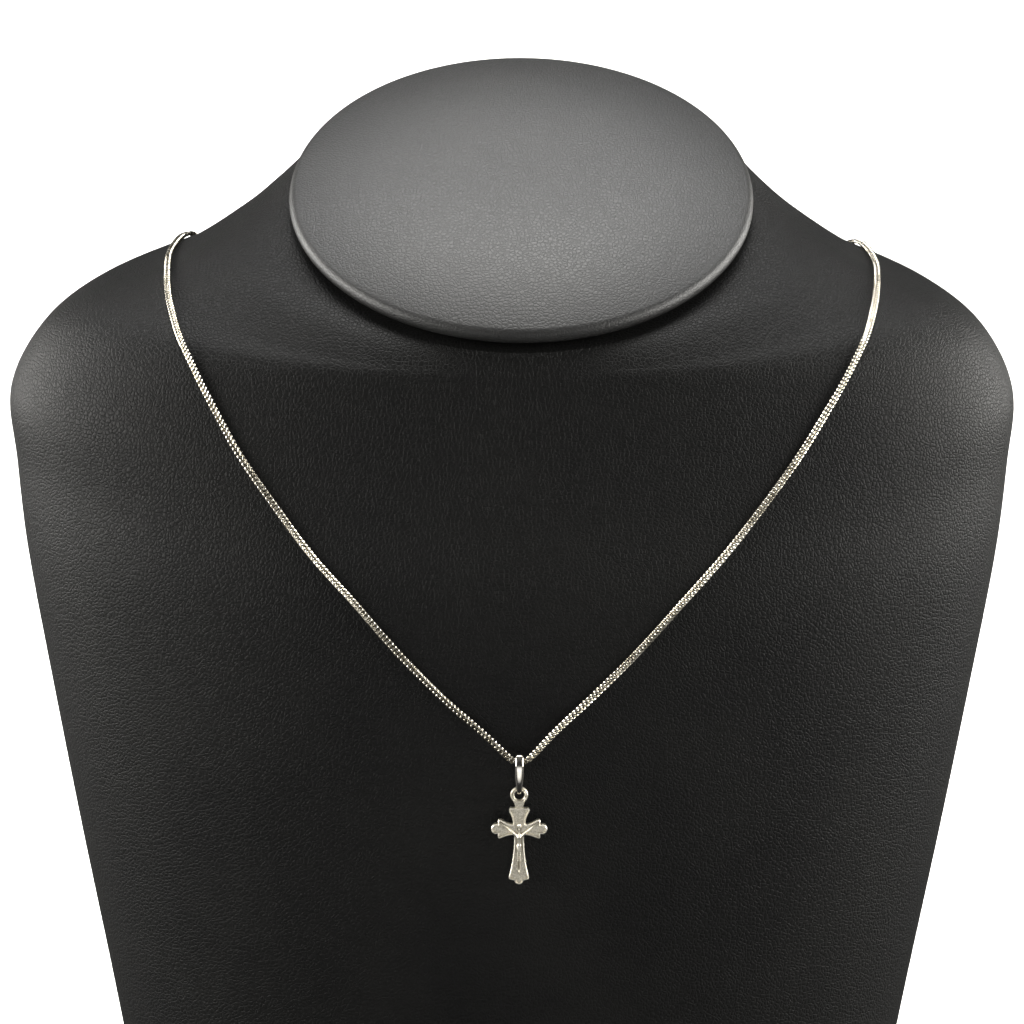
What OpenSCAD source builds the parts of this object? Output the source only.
// Crucifix pendant on a fine curb chain, laid round a neck display bust.
// Millimetres. +Z is up, the front looks along -Y, and the bust stands on Z = 0.

/* [Bust] */
// Radius of the round neck rim
neck_r = 43.5; // [42.5:0.5:44]
// Tilt of the neck rim towards the front
neck_tilt = 30; // [29:0.5:31]
// Height of the neck rim's centre
neck_z = 179; // [178.5:0.5:180]

/* [Neck pad] */
// Height of the pad's widest line over the neck rim
pad_edge = 2.2; // [2.2:0.1:2.8]
// Height of the pad's domed top over its widest line
pad_dome = 6.4; // [4:0.2:8]
// Radius of the pad's rounded edge
pad_round = 1.9; // [1.6:0.1:1.9]

/* [Chain] */
// Outside diameter of the curb chain
chain_d = 1.4; // [1.2:0.1:1.5]
// Diameter of the barrel clasp behind the neck
clasp_d = 3; // [2.4:0.1:3]
// Length of the clasp's barrel
clasp_len = 10; // [8:0.5:10]

/* [Bail] */
// Height of the bail
bail_h = 7.5; // [7.3:0.1:7.7]
// Depth of the bail, front to back
bail_depth = 3.4; // [3.2:0.1:3.6]
// Widest width of the bail's band
bail_w = 1.55; // [1.3:0.05:1.6]
// Thickness of the bail's band
bail_t = 0.5; // [0.4:0.05:0.5]

/* [Crucifix] */
// Width across the two side lobes
cross_w = 10; // [9.8:0.1:10.4]
// Height from the top edge to the tip of the foot lobe
cross_h = 14.2; // [13.8:0.1:14.4]
// Thickness of the plate, rim included
plate_t = 1.1; // [0.9:0.05:1.2]
// Width of the raised rim
rim_w = 0.3; // [0.2:0.05:0.35]
// Depth of the field behind the rim
field_depth = 0.3; // [0.2:0.05:0.35]
// Diameter of the eyelet's hole
eyelet_hole_d = 1.7; // [1.6:0.05:1.8]
// Outside diameter of the eyelet
eyelet_d = 3.2; // [3.1:0.05:3.3]

/* [Hidden] */

LEATHERETTE = [0.13, 0.13, 0.13];
PAD_BLACK = [0.2, 0.2, 0.2];
SILVER = [0.79, 0.77, 0.71];

// Bust sections from the base up to the neck rim, a row for each.
// Columns: height, centre to the right, half width, depth to the front,
// depth to the back, tilt in degrees, roundness (2 is a true ellipse), and
// bend, the share of the tilt's rise that grows with the square of the depth.
COL_Z = 0;
COL_X = 1;
COL_HALF = 2;
COL_FRONT = 3;
COL_BACK = 4;
COL_TILT = 5;
COL_ROUND = 6;
COL_BEND = 7;
NECK_X = 1.5;
SECTIONS = [
  [0, 0, 72.3, 46, 38, 0, 2.4, 0],
  [30, 0, 77.4, 48.5, 40, 0, 2.4, 0],
  [60, 0, 82.8, 50, 41, 0, 2.4, 0],
  [90, 0, 87.9, 50, 42, 1, 2.4, 0],
  [115, 0, 91.9, 48.5, 43, 3, 2.4, 0],
  [132, 0, 93.6, 45.1, 43.5, 6, 2.4, 0.3],
  [145, -0.1, 94.4, 42.6, 43.5, 9, 2.4, 0.6],
  [155.8, 0.1, 89.1, 41, 42.3, 12, 2.4, 0.8],
  [162.5, 0.2, 80.7, 40.6, 40.5, 14.5, 2.4, 0.8],
  [167, 0.9, 68.1, 41, 39.5, 18.5, 2.3, 0.8],
  [172.7, 1.1, 57, 42, 40.6, 24, 2.15, 0.7],
  [176.2, 1.2, 50.1, 43, 42.2, 27.5, 2.05, 0.4],
  [neck_z, NECK_X, neck_r, neck_r, neck_r, neck_tilt, 2, 0],
];
BUST_SIDES = 56;
RINGS_PER_SECTION = 3;
// Clear space between pieces that rest on each other
SEAT = 0.3;
PAD_INSET = 0.2;
// Where the pad's rounded edge gives way to its flat seat and to its dome
EDGE_TURN = 78;

// The chain's centre line, once round from the clasp over the right shoulder,
// down to the bail and back over the left shoulder.
ROUTE = [
  [6.5, 44.2, 160], [12, 43.6, 160.2], [21, 43.1, 160.4], [30, 42.2, 160.4],
  [38, 41.1, 161], [47.5, 39.1, 162.1], [57.4, 35.8, 163.9], [63, 32.6, 165.3],
  [65.6, 28, 168.4], [67, 22.5, 169.8], [67.8, 16.5, 169.8], [68.3, 10.5, 169.4],
  [68.5, 4.5, 168.9], [68.3, -2.9, 168.3], [67.7, -9.5, 167], [67.1, -14, 165.6],
  [66.1, -19.8, 163.2], [63.8, -28.1, 158.5], [60.3, -33.2, 152.4], [56.4, -36.2, 146.2],
  [51.6, -38.9, 138.9], [45.5, -41.9, 130.9], [38, -45.2, 121.9], [30.1, -48.1, 113.4],
  [22.1, -49.6, 104.6], [14, -50.5, 96.5], [8, -51.5, 91], [4.1, -52.1, 87],
  [2.7, -52.3, 85.85], [1.5, -52.3, 85.8], [0.3, -52.3, 85.85], [-1.1, -52.1, 87],
  [-5, -51.5, 90.5], [-11.5, -50.5, 96], [-20, -49.7, 104.5], [-28.1, -48.3, 113.6],
  [-35.8, -45.6, 121.7], [-43.1, -42.3, 130.9], [-48.8, -39.6, 138.6], [-53.2, -36.9, 145.9],
  [-56.7, -34.3, 152.1], [-59.8, -30.1, 158], [-62.4, -21.4, 163], [-63.5, -15.7, 165.6],
  [-64.1, -10.6, 167.5], [-64.7, -2.9, 169.1], [-65, 4.5, 169.7], [-64.9, 10.5, 170.1],
  [-64.6, 16.5, 170.4], [-64, 22.5, 170.5], [-62.8, 28, 169.8], [-60.6, 33.3, 165.7],
  [-55, 36.4, 164.1], [-45, 39.5, 162.3], [-36, 41.3, 161], [-27.5, 42.4, 160.5],
  [-19, 43.2, 160.4], [-12, 43.6, 160.2], [-6.5, 44.2, 160],
];
ROUTE_STEP = 6.5;
CHAIN_SIDES = 8;
VERTEX = [1.5, -52.3, 85.8];
CLASP_AT = [0, 44.2, 160];
CLASP_END_D = 1.9;

// The bail hangs on the chain, and the eyelet hangs on the bail.
BAIL_GAP = 0.2;
EYELET_GAP = 0.2;
BAIL_RINGS = 40;
BAIL_SIDES = 12;
BAIL_ROUND = 2.4;
BAIL_OVAL = 2.6;
BAIL_TOP = chain_d / 2 + BAIL_GAP + bail_t;
EYELET_Z = BAIL_TOP - bail_h + bail_t + EYELET_GAP - eyelet_hole_d / 2;

// Crucifix heights are measured down from the cross's top edge.
TOP_EDGE = 2.35;
ARM_H = 3.9;
LOBE_R = 0.95;
FOOT_LOBE_R = 0.8;
BACK_Y = 0.5;
FIELD_Y = BACK_Y - plate_t + field_depth;
EYELET_T = 0.8;
STEM_W = 1.5;
STEM_T = 0.65;
CURVE_STEPS = 6;
MARGIN = 1;

// The figure's low relief: body from the crown to the feet, and one arm from
// the chest to the hand. Columns: x, height below the cross's top edge, half
// width, and rise over the field.
COL_AT_X = 0;
COL_DOWN = 1;
COL_WIDE = 2;
COL_RISE = 3;
BODY = [
  [0, 2.92, 0.14, 0.3], [0, 3.02, 0.32, 0.52], [0, 3.24, 0.45, 0.68],
  [0, 3.54, 0.42, 0.68], [0, 3.76, 0.28, 0.54], [0, 3.94, 0.2, 0.36],
  [0, 4.35, 0.22, 0.36], [0, 4.75, 0.38, 0.44], [0, 5.15, 0.48, 0.58],
  [0, 5.6, 0.48, 0.62], [0, 6.05, 0.44, 0.56], [0, 6.45, 0.4, 0.5],
  [0, 6.8, 0.46, 0.56], [0, 7.3, 0.53, 0.6], [0, 7.8, 0.52, 0.58],
  [0, 8.4, 0.42, 0.52], [0, 9.2, 0.38, 0.5], [0, 9.8, 0.38, 0.58],
  [0, 10.6, 0.32, 0.46], [0, 11.4, 0.25, 0.36], [0, 11.9, 0.25, 0.42],
  [0, 12.3, 0.13, 0.24],
];
ARM = [
  [0.2, 5.4, 0.24, 0.4], [0.58, 5.05, 0.33, 0.5], [1.08, 4.6, 0.29, 0.48],
  [1.78, 3.98, 0.24, 0.42], [2.38, 3.47, 0.23, 0.42], [2.94, 3.04, 0.15, 0.34],
  [3.2, 2.86, 0.19, 0.36], [3.36, 2.74, 0.07, 0.2],
];
RELIEF_SIDES = 12;
SINK = 0.3;

// Smooth curve from b to c at fraction t, which also heeds the points a and d
function smooth_at(a, b, c, d, t) =
  (2 * b + (c - a) * t + (2 * a - 5 * b + 4 * c - d) * t * t
    + (3 * b - a - 3 * c + d) * t * t * t) / 2;

function before(rows, i) = i > 0 ? rows[i - 1] : 2 * rows[0] - rows[1];

function after(rows, i) =
  i + 2 < len(rows) ? rows[i + 2] : 2 * rows[i + 1] - rows[i];

// Rows on a smooth curve through the given ones, counts[i] of them in stretch i
function refine(rows, counts) = [
  for (i = [0 : len(rows) - 2], k = [0 : counts[i] - 1])
    smooth_at(before(rows, i), rows[i], rows[i + 1], after(rows, i), k / counts[i]),
  rows[len(rows) - 1],
];

function power(v, p) = sign(v) * pow(abs(v), p);

function unit(v) = v / norm(v);

// Triangles of the strip between two rings of n points
function strip(low, high, n) = [
  for (j = [0 : n - 1], side = [0, 1])
    let (k = (j + 1) % n)
    side == 0 ? [low + j, high + j, high + k] : [low + j, high + k, low + k],
];

// Closed skin over a row of rings, capped at both ends or joined end to end
module skin(rings, joined = false) {
  n = len(rings[0]);
  last = len(rings) - 1;
  walls = [for (i = [0 : last - 1]) each strip(i * n, (i + 1) * n, n)];
  ends = joined
    ? strip(last * n, 0, n)
    : [[for (j = [0 : n - 1]) j], [for (j = [n - 1 : -1 : 0]) last * n + j]];
  polyhedron([for (ring = rings) each ring], concat(walls, ends));
}

function bust_ring(row) = [
  for (j = [0 : BUST_SIDES - 1])
    let (
      a = 360 * j / BUST_SIDES,
      e = 2 / row[COL_ROUND],
      depth = sin(a) < 0 ? row[COL_FRONT] : row[COL_BACK],
      out = power(sin(a), e),
      bent = 1 - row[COL_BEND] + row[COL_BEND] * abs(out)
    )
    [
      row[COL_X] + row[COL_HALF] * power(cos(a), e),
      depth * out * cos(row[COL_TILT]),
      row[COL_Z] + depth * out * bent * sin(row[COL_TILT]),
    ],
];

module bust() {
  counts = [for (row = SECTIONS) RINGS_PER_SECTION];
  color(LEATHERETTE) skin([for (row = refine(SECTIONS, counts)) bust_ring(row)]);
}

function arc(centre, r, from, to, steps) = [
  for (i = [0 : steps])
    let (a = from + (to - from) * i / steps)
    centre + r * [cos(a), sin(a)],
];

// Half section of the pad: flat seat, rounded edge, shallow dome
module pad_profile() {
  shoulder = neck_r - PAD_INSET - pad_round;
  edge = arc([shoulder, pad_edge], pad_round, -EDGE_TURN, EDGE_TURN, 12);
  top = edge[12];
  rise = pad_edge + pad_dome - top.y;
  polygon(concat(
    [[0, pad_edge - pad_round], [shoulder, pad_edge - pad_round]],
    edge,
    [for (i = [1 : 10])
      let (t = 1 - i / 10)
      [top.x * t, top.y + rise * (1 - t * t)]]
  ));
}

module neck_pad() {
  color(PAD_BLACK)
    translate([NECK_X, 0, neck_z])
      rotate([neck_tilt, 0, 0])
        rotate_extrude($fn = 96)
          pad_profile();
}

// Ring of the chain's tube across the direction t
function chain_ring(centre, t) =
  let (across = unit(cross(t, [0, 0, 1])), over = cross(unit(t), across))
  [for (j = [0 : CHAIN_SIDES - 1])
    let (a = 360 * j / CHAIN_SIDES)
    centre + chain_d / 2 * (cos(a) * across + sin(a) * over)];

module chain() {
  counts = [for (i = [0 : len(ROUTE) - 2])
    max(1, round(norm(ROUTE[i + 1] - ROUTE[i]) / ROUTE_STEP))];
  line = refine(ROUTE, counts);
  last = len(line) - 1;
  color(SILVER)
    skin([for (i = [0 : last])
      chain_ring(line[i], line[min(i + 1, last)] - line[max(i - 1, 0)])]);
}

// Plain barrel with coned ends, which the chain's two ends meet
module clasp() {
  cone = (ROUTE[0].x - SEAT) - clasp_len / 2;
  color(SILVER)
    translate(CLASP_AT)
      rotate([0, 90, 0])
        rotate_extrude($fn = 48)
          polygon([
            [0, -clasp_len / 2 - cone], [CLASP_END_D / 2, -clasp_len / 2 - cone],
            [clasp_d / 2, -clasp_len / 2], [clasp_d / 2, clasp_len / 2],
            [CLASP_END_D / 2, clasp_len / 2 + cone], [0, clasp_len / 2 + cone],
          ]);
}

// Width of the bail's band, from the top (s = 1) down to its narrow foot (s = -1)
function bail_width(s) = bail_w * (1 - (s > 0 ? 0.1 * s * s : 0.55 * pow(-s, 1.2)));

// Ring of the bail's band, whose middle line is an oval with roomy ends
function bail_ring(a) =
  let (
    tall = (bail_h - bail_t) / 2,
    deep = (bail_depth - bail_t) / 2,
    c = power(cos(a), 2 / BAIL_OVAL),
    s = power(sin(a), 2 / BAIL_OVAL),
    centre = [0, deep * c, BAIL_TOP - bail_h / 2 + tall * s],
    out = unit([0, tall * power(c, BAIL_OVAL - 1), deep * power(s, BAIL_OVAL - 1)]),
    e = 2 / BAIL_ROUND
  )
  [for (j = [0 : BAIL_SIDES - 1])
    let (b = 360 * j / BAIL_SIDES)
    centre + [bail_width(s) / 2 * power(cos(b), e), 0, 0]
      + bail_t / 2 * power(sin(b), e) * out];

module bail() {
  color(SILVER)
    translate(VERTEX)
      skin([for (i = [0 : BAIL_RINGS - 1]) bail_ring(360 * i / BAIL_RINGS)], joined = true);
}

// Points from a to b that leave a straight down or across and bend out late
function flare(a, b, p) = [
  for (i = [0 : CURVE_STEPS])
    let (t = i / CURVE_STEPS)
    [a.x + (b.x - a.x) * t, a.y + (b.y - a.y) * pow(t, p)],
];

function swap(points) = [for (p = points) [p.y, p.x]];

function reversed(points) = [for (i = [len(points) - 1 : -1 : 0]) points[i]];

// Right half of the cross's outline, x out and y down from the top edge
function cross_side() =
  let (
    arm = cross_w / 2 - LOBE_R,
    foot = cross_h - FOOT_LOBE_R
  )
  concat(
    [[1.55, 0], [1.8, 0.2]],
    reversed(swap(flare([3, 1.1], [0.7, 1.8], 2))),
    flare([1.15, 3], [3.1, 2.25], 1.8),
    [[3.6, 2.15], [3.8, 2.4], [3.75, 3.05]],
    arc([arm, ARM_H], LOBE_R, -75, 75, 10),
    [[3.75, 4.75], [3.8, 5.4], [3.6, 5.65]],
    reversed(flare([0.95, 4.95], [3.1, 5.5], 1.8)),
    swap(flare([5.1, 0.87], [foot - 0.5, 1.8], 2.2)),
    [[1.75, foot - 0.2], [1.5, foot - 0.1]],
    arc([0, foot], FOOT_LOBE_R, 8, 90, 6)
  );

module cross_outline() {
  side = cross_side();
  translate([0, -TOP_EDGE])
    polygon(concat(
      [for (p = side) [p.x, -p.y]],
      [for (p = reversed(side)) [-p.x, -p.y]]
    ));
}

// Extrudes a flat shape, drawn as seen from the front, between two depths
module standing(y_front, y_back) {
  translate([0, y_back, 0])
    rotate([90, 0, 0])
      linear_extrude(y_back - y_front)
        children();
}

module eyelet() {
  stem_top = eyelet_hole_d / 2 + 0.1;
  mid_r = (eyelet_d + eyelet_hole_d) / 4;
  band = (eyelet_d - eyelet_hole_d) / 4;
  rotate([90, 0, 0])
    rotate_extrude($fn = 64)
      translate([mid_r, 0])
        polygon([
          [-band, -0.15], [-band, 0.15], [-band * 0.6, EYELET_T / 2],
          [-band * 0.2, EYELET_T / 2], [0, EYELET_T / 2 - 0.1],
          [band * 0.2, EYELET_T / 2], [band * 0.6, EYELET_T / 2],
          [band, 0.15], [band, -0.15], [band * 0.6, -EYELET_T / 2],
          [-band * 0.6, -EYELET_T / 2],
        ]);
  standing(-STEM_T / 2, STEM_T / 2)
    polygon([
      [-eyelet_d * 0.36, -stem_top], [-STEM_W / 2, -1.95],
      [-STEM_W / 2, -TOP_EDGE - 0.2], [STEM_W / 2, -TOP_EDGE - 0.2],
      [STEM_W / 2, -1.95], [eyelet_d * 0.36, -stem_top],
    ]);
}

// Ring of the relief at row i: rises from the field, and its back is sunk in the plate
function relief_ring(rows, i) =
  let (
    row = rows[i],
    way = unit(rows[min(i + 1, len(rows) - 1)] - rows[max(i - 1, 0)]),
    line = unit([way[COL_AT_X], way[COL_DOWN]])
  )
  [for (j = [0 : RELIEF_SIDES - 1])
    let (
      a = 360 * j / RELIEF_SIDES,
      side = row[COL_WIDE] * cos(a),
      deep = (sin(a) > 0 ? row[COL_RISE] : SINK) * sin(a)
    )
    [
      row[COL_AT_X] + side * line.y,
      FIELD_Y + SINK / 3 - deep,
      side * line.x - TOP_EDGE - row[COL_DOWN],
    ]];

module relief(rows) {
  skin([for (i = [0 : len(rows) - 1]) relief_ring(rows, i)]);
}

module crucifix() {
  color(SILVER)
    translate(VERTEX + [0, 0, EYELET_Z]) {
      difference() {
        standing(BACK_Y - plate_t, BACK_Y) cross_outline();
        standing(BACK_Y - plate_t - MARGIN, FIELD_Y) offset(delta = -rim_w) cross_outline();
      }
      relief(BODY);
      relief(ARM);
      mirror([1, 0, 0]) relief(ARM);
      eyelet();
    }
}

bust();
neck_pad();
chain();
clasp();
bail();
crucifix();
